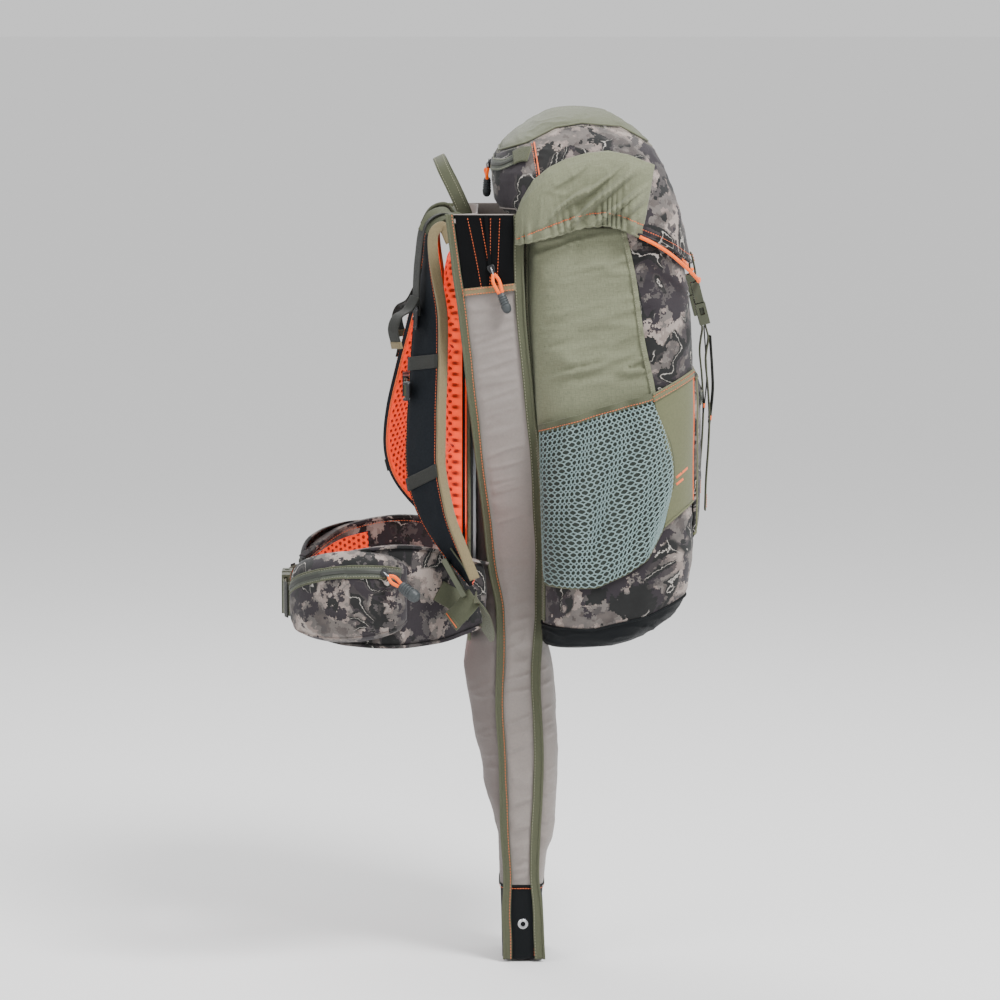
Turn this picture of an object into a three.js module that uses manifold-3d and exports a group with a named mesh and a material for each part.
// Hunting backpack with a drop-through long-gun sleeve: a top-lid pack of about 42 litres on a padded
// harness, with a tapering fabric sleeve between the back panel and the bag.
// Frame: millimetres, +Z up, the wearer stands on the +Y side and faces +Y, the bag's front faces -Y, +X is the
// wearer's right. Origin: the middle of the lumbar pad's flat face, where the pack rests on the wearer.
import * as THREE from "three";
import { mergeVertices } from "three/addons/utils/BufferGeometryUtils.js";
import Module from "manifold-3d";

const wasm = await Module();
wasm.setup();

// ---------------------------------------------------------------- driving dimensions (mm)
const WALL = 3; // sewn fabric walls with their lining
const HALF_W = 150; // half of the bag's width
const BAG_TOP = 400;
const PAD_T = 28; // back pads, foam under spacer mesh
const HARNESS_Y = [-33.0, -28.3];
const SHEET_Y = [-35.0, -33.4];
const STAY_Y = [-38.3, -35.3];
const MOUTH_Z = 443; // top of the sleeve
const SLEEVE_CUT = -61; // lower end of the fixed part of the sleeve
const DROP_TOP = -61.6; // top of the part that hangs below the bag
const DROP_END = -356.5; // where the hard end begins
const TIP_Z = -446; // lowest point of the sleeve
const BELT_WEB = 38; // belt webbing width
const GAP = 0.4;

// ---------------------------------------------------------------- helpers
function solidFrom(geometry) {
  const g = geometry.index ? geometry.toNonIndexed() : geometry.clone();
  for (const n of Object.keys(g.attributes)) if (n !== "position") g.deleteAttribute(n);
  const m = mergeVertices(g, 1e-4);
  return new wasm.Manifold(
    new wasm.Mesh({ numProp: 3, vertProperties: m.attributes.position.array, triVerts: new Uint32Array(m.index.array) }),
  );
}
function geometryFrom(solid) {
  const m = solid.getMesh();
  const v = new Float32Array(m.numVert * 3);
  for (let i = 0; i < m.numVert; i++) v.set(m.vertProperties.subarray(i * m.numProp, i * m.numProp + 3), i * 3);
  const g = new THREE.BufferGeometry();
  g.setAttribute("position", new THREE.BufferAttribute(v, 3));
  g.setIndex(new THREE.BufferAttribute(new Uint32Array(m.triVerts), 1));
  g.computeVertexNormals();
  return g;
}
const V = (x, y, z) => new THREE.Vector3(x, y, z);

// A closed solid through rings of equal length, each a list of Vector3, with flat caps.
function loft(rings) {
  const n = rings[0].length;
  const pos = [];
  rings.forEach((r) => r.forEach((p) => pos.push(p.x, p.y, p.z)));
  const idx = [];
  for (let i = 0; i < rings.length - 1; i++)
    for (let k = 0; k < n; k++) {
      const a = i * n + k, b = i * n + ((k + 1) % n), c = a + n, d = b + n;
      idx.push(a, b, c, b, d, c);
    }
  const cap = (ring, base, flip) => {
    const c = ring.reduce((s, p) => s.add(p), V(0, 0, 0)).multiplyScalar(1 / n);
    const normal = V(0, 0, 0);
    ring.forEach((p, k) => normal.add(p.clone().sub(c).cross(ring[(k + 1) % n].clone().sub(c))));
    normal.normalize();
    const u = ring[0].clone().sub(c).normalize(), w = normal.clone().cross(u);
    const flat = ring.map((p) => new THREE.Vector2(p.clone().sub(c).dot(u), p.clone().sub(c).dot(w)));
    THREE.ShapeUtils.triangulateShape(flat, []).forEach(([a, b, d]) =>
      flip ? idx.push(base + a, base + d, base + b) : idx.push(base + a, base + b, base + d),
    );
  };
  cap(rings[0], 0, true);
  cap(rings[rings.length - 1], (rings.length - 1) * n, false);
  let vol = 0;
  const P = (i) => V(pos[3 * i], pos[3 * i + 1], pos[3 * i + 2]);
  for (let i = 0; i < idx.length; i += 3) vol += P(idx[i]).dot(P(idx[i + 1]).cross(P(idx[i + 2])));
  if (vol < 0) for (let i = 0; i < idx.length; i += 3) [idx[i + 1], idx[i + 2]] = [idx[i + 2], idx[i + 1]];
  const g = new THREE.BufferGeometry();
  g.setAttribute("position", new THREE.Float32BufferAttribute(pos, 3));
  g.setIndex(idx);
  return g;
}
// Rounded rectangle as [a, b] pairs, counter-clockwise, 4 corners of n + 1 points.
function roundRect(a0, a1, b0, b1, r, n = 3) {
  const out = [];
  [[a1 - r, b1 - r, 0], [a0 + r, b1 - r, 90], [a0 + r, b0 + r, 180], [a1 - r, b0 + r, 270]].forEach(([ca, cb, t0]) => {
    for (let k = 0; k <= n; k++) {
      const t = THREE.MathUtils.degToRad(t0 + (90 * k) / n);
      out.push([ca + r * Math.cos(t), cb + r * Math.sin(t)]);
    }
  });
  return out;
}
const box = (x0, x1, y0, y1, z0, z1) =>
  new THREE.BoxGeometry(x1 - x0, y1 - y0, z1 - z0).translate((x0 + x1) / 2, (y0 + y1) / 2, (z0 + z1) / 2);
const bs = (...a) => solidFrom(box(...a));
const smooth = (pts, n) => new THREE.CatmullRomCurve3(pts.map((p) => V(...p)), false, "centripetal").getSpacedPoints(n);

// A strip along a path. side(t) gives the direction of its width; w and th may be functions of t.
function strip(path, side, w, th, corner = 0) {
  const n = path.length - 1;
  const f = (x, t) => (typeof x === "function" ? x(t) : x);
  return loft(
    path.map((p, i) => {
      const t = i / n;
      const tan = path[Math.min(n, i + 1)].clone().sub(path[Math.max(0, i - 1)]).normalize();
      let s = f(side, t).clone();
      s.sub(tan.clone().multiplyScalar(s.dot(tan))).normalize();
      const up = tan.clone().cross(s).normalize();
      const a = f(w, t) / 2, b = f(th, t) / 2;
      const pairs = corner ? roundRect(-a, a, -b, b, Math.min(corner, b * 0.98, a * 0.98), 2) : [[a, b], [-a, b], [-a, -b], [a, -b]];
      return pairs.map(([x, y]) => p.clone().addScaledVector(s, x).addScaledVector(up, y));
    }),
  );
}
const interp = (table, z) => {
  if (z >= table[0][0]) return table[0][1];
  for (let i = 0; i < table.length - 1; i++) {
    const [z1, a] = table[i], [z0, b] = table[i + 1];
    if (z <= z1 && z >= z0) return b + ((a - b) * (z - z0)) / (z1 - z0);
  }
  return table[table.length - 1][1];
};
const mirrored = (geometry) => {
  const g = geometry.index ? geometry.toNonIndexed() : geometry.clone();
  const p = g.attributes.position;
  for (let i = 0; i < p.count; i += 3) {
    const v = [0, 1, 2].map((k) => [-p.getX(i + k), p.getY(i + k), p.getZ(i + k)]);
    p.setXYZ(i, ...v[0]);
    p.setXYZ(i + 1, ...v[2]);
    p.setXYZ(i + 2, ...v[1]);
  }
  return g;
};

// ---------------------------------------------------------------- materials
const mat = (color, roughness = 0.9, metalness = 0) => new THREE.MeshStandardMaterial({ color, roughness, metalness });
const M = {
  camo: mat(0x7d7472), olive: mat(0x8b8f73), taupe: mat(0xa39b96), black: mat(0x15171b), orange: mat(0xf5431a, 0.8),
  base: mat(0x14181d, 0.7), mesh: mat(0x7c8f90), web: mat(0x4f5340), plastic: mat(0x4d5242, 0.5), dark: mat(0x24262a, 0.5),
  foam: mat(0x2a3238), hdpe: mat(0x1a1a1a, 0.4), alu: mat(0xb8babd, 0.35, 0.9), cord: mat(0xf0661e, 0.7), steel: mat(0x9a9c9e, 0.3, 0.9),
};
const group = new THREE.Group();
function add(name, geometry, material) {
  const mesh = new THREE.Mesh(geometry, material);
  mesh.name = name;
  group.add(mesh);
  return mesh;
}
function pair(name, geometry, material) {
  add(name + "_left", geometry, material);
  add(name + "_right", mirrored(geometry), material);
}
const both = (solid) => solid.add(solidFrom(mirrored(geometryFrom(solid))));

// ---------------------------------------------------------------- frame and harness
const plateXZ = (pts, y0, y1) => {
  // pts: [x, z] outline; the plate lies between y0 and y1
  const g = new THREE.ExtrudeGeometry(new THREE.Shape(pts.map(([x, z]) => new THREE.Vector2(x, z))), { depth: y1 - y0, bevelEnabled: false });
  g.rotateX(Math.PI / 2); // (x, z, depth) -> (x, -depth, z)
  return g.translate(0, y1, 0);
};
const harnessPlate = solidFrom(plateXZ([[-108, 62], [-108, -36], [-94, -55], [94, -55], [108, -36], [108, 62], [100, 84], [100, 404], [80, 430.5], [-80, 430.5], [-100, 404], [-100, 84]], ...HARNESS_Y));
add("framesheet", plateXZ(roundRect(-98, 98, -44, 414, 22, 3), ...SHEET_Y), M.hdpe);
pair("stay", plateXZ(roundRect(-63, -43, -38, 404, 9, 2), ...STAY_Y), M.alu);

// A pad with rounded edges whose face at y = 0 is flat.
function pad(outline, y0, y1, edge) {
  const c = outline.reduce((s, p) => [s[0] + p[0] / outline.length, s[1] + p[1] / outline.length], [0, 0]);
  const ring = (inset, y) => outline.map(([x, z]) => {
    const d = Math.hypot(x - c[0], z - c[1]);
    return V(x - ((x - c[0]) / d) * inset, y, z - ((z - c[1]) / d) * inset);
  });
  return loft([ring(1, y0), ring(0, y0 + 4), ring(0, y1 - edge), ring(edge * 0.35, y1 - edge * 0.35), ring(edge, y1)]);
}
pair("back_pad", pad([[-30, 62], [-100, 62], [-105, 90], [-105, 300], [-96, 350], [-86, 382], [-74, 396], [-42, 396], [-30, 380], [-28, 200]].reverse(), -PAD_T, 0, 9), M.orange);
add("lumbar_pad", pad(roundRect(-84, 84, -46, 52, 26, 3), -PAD_T, 0, 9), M.orange);

// haul loop: an arch of doubled webbing on top of the harness, 15 mm wide, leaning towards the wearer
const haulHalf = [[-37, -28, 431.2], [-37.5, -22, 446], [-36, -12, 468], [-29, -2, 488], [-16, 3, 499]];
const haulPath = [...haulHalf, [0, 5, 503], ...haulHalf.slice().reverse().map(([x, y, z]) => [-x, y, z])];
add("haul_loop", strip(haulPath.map((p) => V(...p)), V(0, 0.9, -0.42), 15, 3), M.olive);

// shoulder straps: padded, S-shaped, 58 mm wide at the chest and 40 mm at the lower end
const STRAP = [[-68, -9, 408], [-68, 2, 426], [-70, 12, 420], [-73, 15, 372], [-80, 18, 320], [-90, 23, 260], [-104, 28, 200], [-122, 27, 148], [-142, 11, 100], [-158, -13, 58], [-168, -36, 22]];
const strapPath = smooth(STRAP, 22);
const strapW = (t) => interp([[1, 38], [0.86, 48], [0.6, 60], [0.3, 62], [0.12, 58], [0, 52]], t);
pair("shoulder_strap", strip(strapPath, V(1, 0, 0), strapW, (t) => interp([[1, 8], [0.85, 12], [0.3, 13], [0.08, 9], [0, 7]], t), 4), M.foam);

// load lifter: webbing from the top of the pack over the strap to its ladder lock on the strap's face
const liftPath = smooth([[-68, -14, 437], [-69, 4, 440], [-70, 20, 430], [-74, 28, 390], [-79, 30.5, 345], [-82, 30, 322]], 10);
const lifter = solidFrom(strip(liftPath, V(1, 0, 0), 20, 1.8));
const liftLock = solidFrom(strip([V(-83, 29.6, 331), V(-84.6, 31.2, 309)], V(1, 0, 0), 27, 6.5));
pair("load_lifter", geometryFrom(lifter.add(liftLock)), M.black);

// ladder lock at the strap's lower end: a frame with two bars
function ladderLock() {
  const a = V(-158.5, -3.5, 46), b = V(-169, -27, 5);
  const path = [a, b];
  const outer = solidFrom(strip(path, V(1, 0, 0), 32, 6));
  const mid = (s, e) => [a.clone().lerp(b, s), a.clone().lerp(b, e)];
  const slot1 = solidFrom(strip(mid(0.14, 0.4), V(1, 0, 0), 25, 12));
  const slot2 = solidFrom(strip(mid(0.6, 0.86), V(1, 0, 0), 25, 12));
  return outer.subtract(slot1).subtract(slot2);
}
pair("ladder_lock", geometryFrom(ladderLock()), M.plastic);

// lower webbing: from the pack's lower corner up to the ladder lock, with its free tail
const lowPath = smooth([[-85, -76, -50], [-104, -76, -49], [-128, -70, -42], [-150, -60, -26], [-165, -49, -8], [-169, -40, 3]], 10);
const lowTail = [...lowPath, V(-169.6, -37.5, 5), V(-170.6, -34.2, 3), V(-173, -29, -8), V(-176, -24, -26)];
pair("lower_webbing", strip(lowTail, (t) => V(1, 0.25, 0.1), 25, 1.6), M.web);

// ---------------------------------------------------------------- side-release buckles
// Local frame: the male's prongs point along +X, the width is along Y, the thickness along Z.
function male(w, prong, tunnel) {
  let s = bs(-24, 0, -w / 2, w / 2, -5, 5);
  s = s.subtract(bs(-25, -1.6, -tunnel / 2, tunnel / 2, -1.8, 1.8));
  s = s.add(bs(-1, prong, w / 2 - 7, w / 2 - 2.5, -2, 2)).add(bs(-1, prong, -w / 2 + 2.5, -w / 2 + 7, -2, 2));
  return s.add(bs(-1, prong - 3, -2, 2, -1.5, 1.5));
}
function female(w, prong, tunnel) {
  const L = prong + 12;
  let s = bs(1, L, -w / 2 - 1, w / 2 + 1, -6, 6);
  s = s.subtract(bs(0, prong + 3, -w / 2 + 0.6, w / 2 - 0.6, -3.9, 3.9));
  s = s.subtract(bs(prong - 8, prong + 0.5, -w, w, -2.6, 2.6)); // the side windows where the prongs are squeezed
  return s.subtract(bs(prong, L + 1, -tunnel / 2, tunnel / 2, -1.8, 1.8));
}
function place(solid, origin, ex, ey) {
  const x = ex.clone().normalize(), y = ey.clone().sub(x.clone().multiplyScalar(ey.dot(x))).normalize(), z = x.clone().cross(y);
  const g = geometryFrom(solid);
  g.applyMatrix4(new THREE.Matrix4().makeBasis(x, y, z).setPosition(origin));
  return g;
}

// sternum strap, with its sliders on the shoulder straps
const ST_Z = 236, ST_Y = 42.5;
const sternumWeb = (x0, x1) => bs(x0, x1, ST_Y - 0.8, ST_Y + 0.8, ST_Z - 10, ST_Z + 10);
const sternumSlider = (x) => bs(x - 5, x + 5, ST_Y - 6.5, ST_Y + 1.6, ST_Z - 12, ST_Z + 12);
add("sternum_strap_left", geometryFrom(sternumWeb(-98, -26).add(sternumSlider(-98))), M.web);
add("sternum_strap_right", geometryFrom(sternumWeb(17, 98).add(sternumSlider(98))), M.web);
add("sternum_buckle_male", place(male(24, 15, 21.5), V(-6, ST_Y, ST_Z), V(1, 0, 0), V(0, 0, 1)), M.plastic);
add("sternum_buckle_female", place(female(24, 15, 21.5), V(-6, ST_Y, ST_Z), V(1, 0, 0), V(0, 0, 1)), M.plastic);

// ---------------------------------------------------------------- hip belt
const FIN = [[-99, -50, 0], [-115, -26, 0], [-134, 4, 0], [-149, 42, 0], [-150, 90, -1], [-134, 134, -4], [-98, 170, -8]];
const finPath = smooth(FIN, 14);
const finH = (t) => interp([[1, 54], [0.85, 74], [0.7, 90], [0.45, 104], [0.25, 98], [0.1, 84], [0, 72]], t);
const FIN_FOLD = 6; // the wing swings about the line where it leaves the pack
const fin = solidFrom(strip(finPath, V(0, 0, 1), finH, (t) => interp([[1, 9], [0.9, 13], [0.1, 13], [0, 9]], t), 5));
add("harness_panel", geometryFrom(harnessPlate.add(both(fin.intersect(bs(-300, 0, -200, FIN_FOLD, -200, 200))))), M.black);
pair("hip_fin", geometryFrom(fin.intersect(bs(-300, 0, FIN_FOLD + GAP, 400, -200, 200))), M.camo);

// hip pockets: zipped pouches on the outside of each fin
const pocketPath = finPath.slice(5, 14).map((p, i, a) => {
  const tan = a[Math.min(a.length - 1, i + 1)].clone().sub(a[Math.max(0, i - 1)]).normalize();
  const out = tan.clone().cross(V(0, 0, 1)).normalize();
  if (out.x > 0) out.negate();
  const s = Math.sin((Math.PI * (i + 0.35)) / (a.length - 0.3));
  return p.clone().addScaledVector(out, 7.4 + (8 + 20 * s) / 2).add(V(0, 0, -3));
});
const pouchH = (t) => 62 + 36 * Math.sin(Math.PI * Math.min(1, 0.14 + t * 0.8)), pouchT = (t) => 8 + 20 * Math.sin(Math.PI * Math.min(1, 0.05 + 0.92 * t));
const inT = (t) => 0.125 + 0.75 * t;
const pouch = solidFrom(strip(pocketPath, V(0, 0, 1), pouchH, pouchT, 8));
const pouchIn = solidFrom(strip(pocketPath.slice(1, -1), V(0, 0, 1), (t) => pouchH(inT(t)) - 7, (t) => pouchT(inT(t)) - 5.4, 5));
const pouchSlot = bs(-205, -172, 52, 122, 24, 30); // the zip, open
pair("hip_pocket", geometryFrom(pouch.subtract(pouchIn).subtract(pouchSlot)), M.camo);

// belt webbing and buckle
const BELT_Z = -10, BUCKLE_Y = 186;
const beltEnd = V(-97, 176, -9);
const beltPath = smooth([[beltEnd.x, 171.5 + 6, -9], [-70, 183.5, -9.6], [-52, BUCKLE_Y, BELT_Z], [-40, BUCKLE_Y, BELT_Z], [-29, BUCKLE_Y, BELT_Z]], 6);
add("belt_webbing_left", strip(beltPath, V(0, 0, 1), BELT_WEB, 1.8), M.web);
const beltPathR = smooth([[97, 177.5, -9], [72, 184, -9.6], [50, BUCKLE_Y, BELT_Z], [32, BUCKLE_Y, BELT_Z], [17, BUCKLE_Y, BELT_Z]], 6);
add("belt_webbing_right", strip(beltPathR, V(0, 0, 1), BELT_WEB, 1.8), M.web);
add("belt_buckle_male", place(male(46, 18, 40), V(-9, BUCKLE_Y, BELT_Z), V(1, 0, 0), V(0, 0, 1)), M.dark);
add("belt_buckle_female", place(female(46, 18, 40), V(-9, BUCKLE_Y, BELT_Z), V(1, 0, 0), V(0, 0, 1)), M.dark);

// zip pulls: slider, cord and moulded end. p is on the zip, toward is the way the pull hangs.
function pull(p, out, toward, len) {
  const slider = solidFrom(strip([p.clone().addScaledVector(toward, -6), p.clone().addScaledVector(toward, 6)], toward.clone().cross(out), 9, 4));
  const a = p.clone().addScaledVector(toward, 3).addScaledVector(out, 1.5), b = p.clone().addScaledVector(toward, len).addScaledVector(out, 4);
  const cord = solidFrom(strip([a, b], toward.clone().cross(out), 5, 2.4));
  const c = p.clone().addScaledVector(toward, len - 2).addScaledVector(out, 4), d = p.clone().addScaledVector(toward, len + 24).addScaledVector(out, 5);
  const end = solidFrom(strip([c, d], toward.clone().cross(out), 11, 8, 3));
  return geometryFrom(slider.add(cord).add(end));
}
const hipPull = pull(V(-187.6, 62, 40), V(-1, 0, 0), V(-0.15, -0.78, -0.62).normalize(), 22);
pair("hip_zip_pull", hipPull, M.dark);

// ---------------------------------------------------------------- bag
const bagLevels = [
  [-61, -124, -180, 116, 26], [-57, -119, -208, 132, 36], [-45, -117, -238, 143, 48], [-20, -116, -270, 148, 52], [6, -116, -284, HALF_W, 52],
  [62, -116, -290, HALF_W, 52], [126, -113, -290, HALF_W, 52], [205, -106, -290, HALF_W, 52], [256, -100.5, -290, HALF_W, 52], [300, -96.5, -289, HALF_W, 52],
  [345, -94, -285, HALF_W, 52], [372, -93.5, -281, 149, 52], [BAG_TOP, -93.5, -275, 148, 52],
];
const section = ([z, yb, yf, hw, r], off = 0, n = 3) => roundRect(-hw + off, hw - off, yf + off, yb - off, Math.max(6, r - off), n).map(([x, y]) => V(x, y, z));
const bagOuter = solidFrom(loft(bagLevels.map((l) => section(l))));
const innerLevels = [[-56.5, -124, -184, 116, 26], ...bagLevels.slice(2)];
const bagInner = solidFrom(loft([...innerLevels.map((l) => section(l, WALL)), section([BAG_TOP + 6, -93.5, -275, 148, 52], WALL)]));
const bagShell = bagOuter.subtract(bagInner);
// the slanted seam of the hard-wearing base, low at the back and higher at the front
const seam = (z0) => {
  const g = new THREE.BoxGeometry(400, 400, 200).translate(0, 0, -100);
  g.rotateX(-Math.atan2(46, 164)).translate(0, -118, z0);
  return solidFrom(g);
};
const baseCut = seam(-46), bodyCut = seam(-45.6);
add("bag_base", geometryFrom(bagShell.intersect(baseCut)), M.base);
const upper = bagShell.subtract(bodyCut);
const PANEL_X = 98;
const riser = bs(-PANEL_X, PANEL_X, -94.9, -92.5, 398, 445.4).add(bs(-PANEL_X, PANEL_X, -94.9, -61, 443.4, 445.4)); // carries the lid's rear edge over the sleeve's mouth
add("bag_back_panel", geometryFrom(upper.intersect(bs(-PANEL_X, PANEL_X, -190, 0, -100, 500)).add(riser)), M.camo);
add("bag_front_panel", geometryFrom(upper.intersect(bs(-PANEL_X, PANEL_X, -400, -190.4, -100, 500))), M.camo);
add("bag_side_left", geometryFrom(upper.intersect(bs(-400, -PANEL_X - GAP, -400, 0, -100, 500))), M.olive);
add("bag_side_right", geometryFrom(upper.intersect(bs(PANEL_X + GAP, 400, -400, 0, -100, 500))), M.olive);

// drawcord collar above the bag's mouth
const collarOut = solidFrom(loft([[BAG_TOP + GAP, -95.5, -272, 145, 50], [432, -99, -263, 138, 48]].map((l) => section(l))));
const collarIn = solidFrom(loft([[BAG_TOP - 2, -95.5, -272, 145, 50], [436, -99, -263, 138, 48]].map((l) => section(l, 2.2))));
add("drawcord_collar", geometryFrom(collarOut.subtract(collarIn)), M.taupe);
// the drawcord's doubled end leaves the collar at the front and runs through a spring cord lock
const lockY = -246;
const cordLock = solidFrom(strip([V(0, lockY, 405), V(0, lockY, 426)], V(1, 0, 0), 15, 11, 4)).add(bs(-2.4, 2.4, -262.2, lockY, 416, 418.4)).add(bs(-4.5, 4.5, lockY - 4, lockY + 4, 425, 430));
add("cord_lock", geometryFrom(cordLock), M.dark);

// front pocket, closed by its own zip, with side walls that wrap onto the bag's corners
add("front_pocket", pad(roundRect(-112, 112, 66, 250, 30, 3), 0, 11.2, 6).rotateX(0).applyMatrix4(new THREE.Matrix4().makeScale(-1, -1, 1)).translate(0, -290.6, 0), M.olive);

// side pockets: stretch mesh, open at the top, closed at the other edges
function sidePocket() {
  // outline in (y, z): front top, rear top, rear bottom, front bottom
  const out = [[-262, 60], [-262, 214], [-119, 180], [-119, 10], [-136, 4], [-200, 3], [-238, 18]];
  const ring = (x, k) => {
    const c = [-190, 100];
    return out.map(([y, z]) => V(x, c[0] + (y - c[0]) * k, z >= 179 ? z : c[1] + (z - c[1]) * k));
  };
  const outer = solidFrom(loft([ring(-151.2, 1), ring(-156, 1), ring(-166, 0.965), ring(-173, 0.86)]));
  const inner = solidFrom(loft([ring(-153.0, 0.955), ring(-164.6, 0.93), ring(-171, 0.83)].map((r) => r.map((p) => (p.z >= 179 ? V(p.x, p.y, p.z + 12) : p)))));
  return outer.subtract(inner);
}
pair("side_pocket", geometryFrom(sidePocket()), M.mesh);

// ---------------------------------------------------------------- lid
const lidLevels = [
  [360, -98, -292, 157, 58], [372, -98, -291, 157, 58], [391, -98, -286, 157, 58], [431, -98, -277, 157, 58], [445.9, -98, -273, 157, 58],
  [446.6, -64, -272.4, 157, 60], [460, -59, -268, 156, 62], [489, -58, -258, 153, 66], [512, -64, -246, 146, 72], [530, -84, -228, 132, 70],
  [547, -113, -202, 104, 42], [556, -134, -180, 68, 22],
];
const lidOuter = solidFrom(loft(lidLevels.map((l) => section(l, 0, 4))));
const recess = solidFrom(loft([[340, -60, -287.5, 151.2, 52], [372, -60, -286, 151.2, 52], [400, -60, -279, 151.2, 52], [446.9, -60, -267, 149, 50]].map((l) => section(l, 0, 3))));
const lidPocket = solidFrom(loft([[450.2, -61.5, -271.5, 156, 60], [489, -58, -258, 153, 66], [512, -64, -246, 146, 72], [529, -84, -228, 132, 70], [544, -113, -202, 104, 42]].map((l) => section(l, 3.2, 4))));
const lidZip = bs(-100, 100, -72, -50, 497, 502.5); // the lid pocket's zip, open
// the lower edge of the lid: down at the front, up over the side gusset
const edge = new THREE.Shape([[-400, 300], [-400, 371], [-286, 371], [-262, 383], [-240, 396], [-225, 404], [-190, 414], [-160, 416], [-120, 406], [-96, 398], [40, 398], [40, 300]].map(([y, z]) => new THREE.Vector2(y, z)));
const edgeCut = new THREE.ExtrudeGeometry(edge, { depth: 400, bevelEnabled: false });
// the profile's (y, z) plane and the extrusion's depth along X
edgeCut.applyMatrix4(new THREE.Matrix4().makeBasis(V(0, 1, 0), V(0, 0, 1), V(1, 0, 0)).setPosition(-200, 0, 0));
add("lid_shell", geometryFrom(lidOuter.subtract(recess).subtract(lidPocket).subtract(lidZip).subtract(solidFrom(edgeCut))), M.camo);

// gathered elastic gusset on each side of the lid
const gusset = (x, k) => [[-94, 402], [-96, 440], [-112, 466], [-140, 490], [-180, 500], [-222, 494], [-250, 478], [-246, 440], [-236, 404], [-205, 416], [-165, 420], [-125, 412]].map(([y, z]) => V(x, -172 + (y + 172) * k, 446 + (z - 446) * k));
pair("lid_gusset", loft([gusset(-157.5, 1), gusset(-161, 0.99), gusset(-164.5, 0.93)]), M.olive);

// lid straps, male and female halves, and the front webbing
const LX = 76;
const bDir = V(0, -13, -50).normalize(); // down and out along the strap
const bAt = V(-LX, -298.2, 338); // face between the two halves
const lidStrap = strip([V(-LX, -287.6, 396), V(-LX, -288.9, 391), V(-LX, -292.2, 377), V(-LX, -292.9, 370), bAt.clone().addScaledVector(bDir, -23.5), bAt.clone().addScaledVector(bDir, -15)], V(1, 0, 0), 20, 1.6);
pair("lid_strap", lidStrap, M.web);
pair("lid_buckle_male", place(male(25, 14, 21.5), bAt, bDir, V(1, 0, 0)), M.plastic);
pair("lid_buckle_female", place(female(25, 14, 21.5), bAt, bDir, V(1, 0, 0)), M.plastic);
const fEnd = bAt.clone().addScaledVector(bDir, 22.5); // inside the female's tunnel
const webPts = [fEnd, bAt.clone().addScaledVector(bDir, 30), bAt.clone().addScaledVector(bDir, 41.5), V(-LX, -307.5, 292), V(-LX, -304.6, 284), V(-LX, -303.4, 270), V(-LX, -307, 235), V(-LX, -309, 195), V(-LX, -307.5, 150), V(-LX, -305.2, 120), V(-LX, -305, 95)];
pair("front_webbing", strip(webPts, V(1, 0, 0), 20, 1.6), M.web);

// elastic cord along the lid's lower edge, from the gusset to the strap
const cordPts = smooth([[-160, -240, 398], [-160.3, -252, 392.5], [-158, -266, 385], [-148, -281, 378], [-130, -292.5, 371], [-112, -296.5, 367], [-92, -298, 365]], 11);
const ringShape = new THREE.Shape();
ringShape.absarc(0, 0, 1.6, 0, Math.PI * 2);
const cordGeo = new THREE.ExtrudeGeometry(ringShape, { steps: 14, extrudePath: new THREE.CatmullRomCurve3(cordPts), curveSegments: 4, bevelEnabled: false });
pair("shock_cord", cordGeo, M.cord);

// zip pull at the back of the lid
add("lid_zip_pull", pull(V(46, -55.4, 494), V(0, 1, 0), V(0.35, 0, -1).normalize(), 18), M.dark);

// ---------------------------------------------------------------- sleeve
const L1 = [[443, -10], [397, -16], [345, -22], [299, -28], [241, -35], [184, -41], [126, -48], [69, -55], [23, -60], [-23, -68], [-58, -69], [-128.6, -67], [-200.4, -70], [-248.3, -72.5], [-308.6, -75], [-356.5, -77], [-398.1, -76], [-446, -76]];
const L2 = [[443, -86], [397, -87.5], [345, -88.5], [299, -91.5], [256, -96], [205, -101], [161, -106], [115, -109], [69, -111.5], [23, -112.5], [-23, -112.5], [-58, -110], [-104.7, -108], [-153.6, -110.4], [-200.4, -111.5], [-248.3, -110.4], [-296.2, -108], [-344, -107], [-392.9, -110], [-446, -113]];
const HW = [[443, 141], [400, 138], [348, 134], [290, 128], [230, 120], [170, 110], [110, 99], [50, 88], [0, 83], [-58, 80], [-66.2, 78], [-128.6, 74], [-200.4, 66], [-248.3, 60], [-308.6, 52], [-356.5, 46], [-357.6, 45], [-446, 45]];
const REAR = [[443, -39], [-58, -39], [-64.1, -30], [-97.4, -26], [-133.8, -32], [-182.7, -38], [-203.6, -43.5], [-248.3, -52], [-272.2, -59], [-292, -66], [-356.5, -67], [-446, -69]];
const FRONT = [[443, -90.5], [345, -91.5], [300, -94], [256, -98], [205, -103.6], [161, -108], [115, -111.5], [69, -113.8], [-58, -113.8], [-66.2, -117], [-78.7, -122], [-112, -129], [-192.1, -134], [-248.3, -132], [-296.2, -129], [-320.1, -121], [-356.5, -118], [-398.1, -116], [-446, -119]];
function extrude(outline, x0, x1) {
  const g = new THREE.ExtrudeGeometry(new THREE.Shape(outline.map(([y, z]) => new THREE.Vector2(y, z))), { depth: x1 - x0, bevelEnabled: false });
  g.applyMatrix4(new THREE.Matrix4().set(0, 0, 1, x0, 1, 0, 0, 0, 0, 1, 0, 0, 0, 0, 0, 1));
  return solidFrom(g);
}
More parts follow.
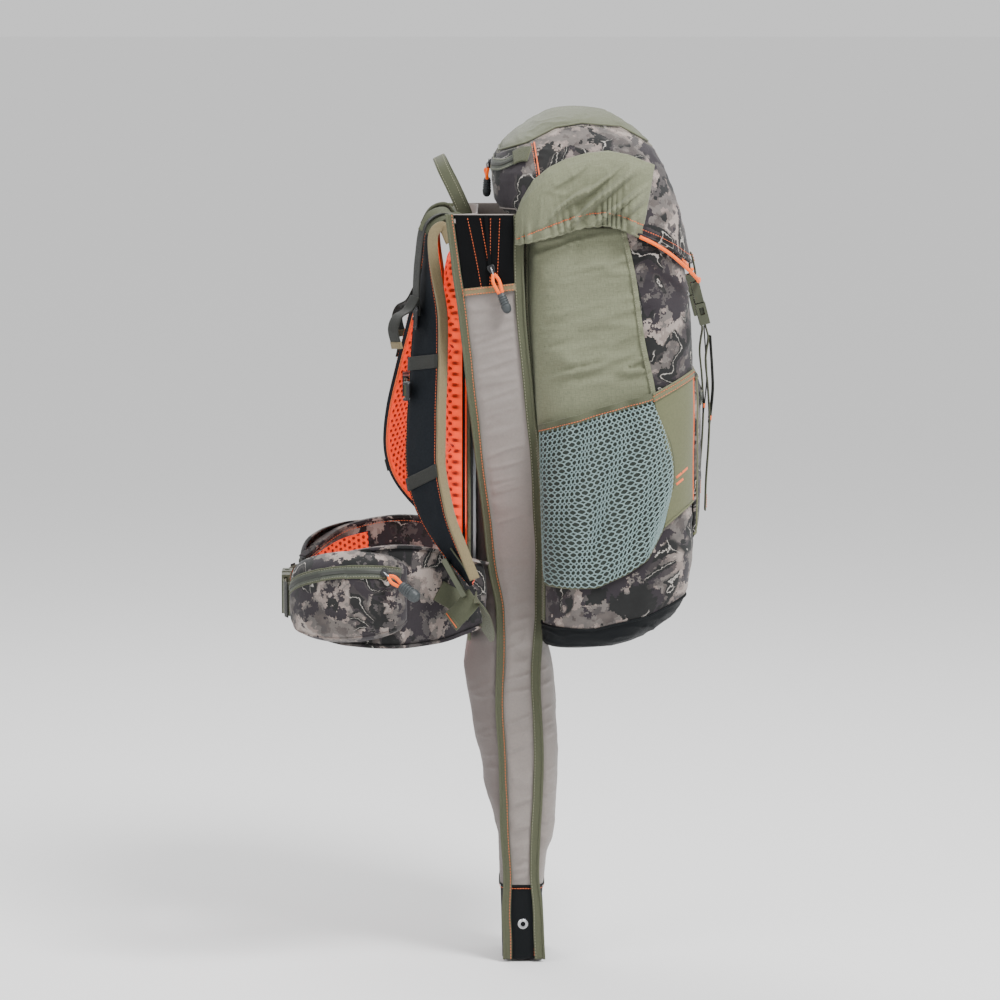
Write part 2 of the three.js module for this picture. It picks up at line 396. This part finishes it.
function sleeveRing(z, inset, endCapped = false) {
  const w = interp(HW, z), a = interp(L1, z), b = interp(L2, z), r = interp(REAR, z), f = interp(FRONT, z);
  const k = Math.min(30, w * 0.4);
  const half = [[w - k, r], [w - 2, a], [w, (a + b) / 2], [w - 2, b], [w - k, f]];
  const pts = [...half, ...half.slice().reverse().map(([x, y]) => [-x, y])];
  const cx = 0, cy = (r + f) / 2;
  return pts.map(([x, y]) => {
    const sx = (Math.abs(x) - inset) / Math.abs(x);
    const yy = y > cy ? Math.min(y - inset, Math.max(y - inset, cy)) : y + inset;
    return V(cx + x * sx, Math.abs(y - cy) < inset ? cy : yy, z);
  });
}
const tube = (zs, inset) => solidFrom(loft(zs.map((z) => sleeveRing(z, inset))));
const upZ = [MOUTH_Z, 397, 345, 299, 241, 184, 126, 69, 23, -23, -47, SLEEVE_CUT];
const sleeveUpper = tube(upZ, 0).subtract(tube([450, ...upZ.slice(1, -1), -66], 2.5));
add("sleeve_upper", geometryFrom(sleeveUpper), M.taupe);
const dropZ = [DROP_TOP, -81, -105, -134, -169, -204, -248, -278, -308, -333, DROP_END];
const sleeveDrop = tube(dropZ, 0).subtract(tube([-56, ...dropZ.slice(1, -1), DROP_END - 5], 2.5));
// the cloth folds along a line across the sleeve, so the rigid halves are cut back to let the lower one swing
const swingRoom = extrude([[-88, DROP_TOP + 0.1], [-140, DROP_TOP - 24.5], [-140, -40], [-15, -40], [-15, DROP_TOP - 15.5]], -200, 200);
add("sleeve_drop", geometryFrom(sleeveDrop.subtract(swingRoom)), M.taupe);
const endZ = [DROP_END - GAP, -382, -414, -437, TIP_Z];
const endCap = tube(endZ, 0).subtract(tube([-352, -382, -414, -441], 3.5));
add("sleeve_end_cap", geometryFrom(endCap), M.base);
// drain eyelet near the tip, on the left gusset
const eyelet = new THREE.LatheGeometry([[3, 0], [6.2, 0], [6.2, 0.7], [4.6, 1.7], [3, 1.2], [3, 0]].map(([r, h]) => new THREE.Vector2(r, h)), 16);
eyelet.rotateZ(Math.PI / 2).translate(-45.4, -94, -403.5);
add("sleeve_eyelet", eyelet, M.steel);
// zip pull of the sleeve's mouth, on the left gusset
add("sleeve_zip_pull", pull(V(-139.2, -57, 372), V(-1, 0, 0), V(0, -0.42, -0.91).normalize(), 25), M.dark);

export default group;
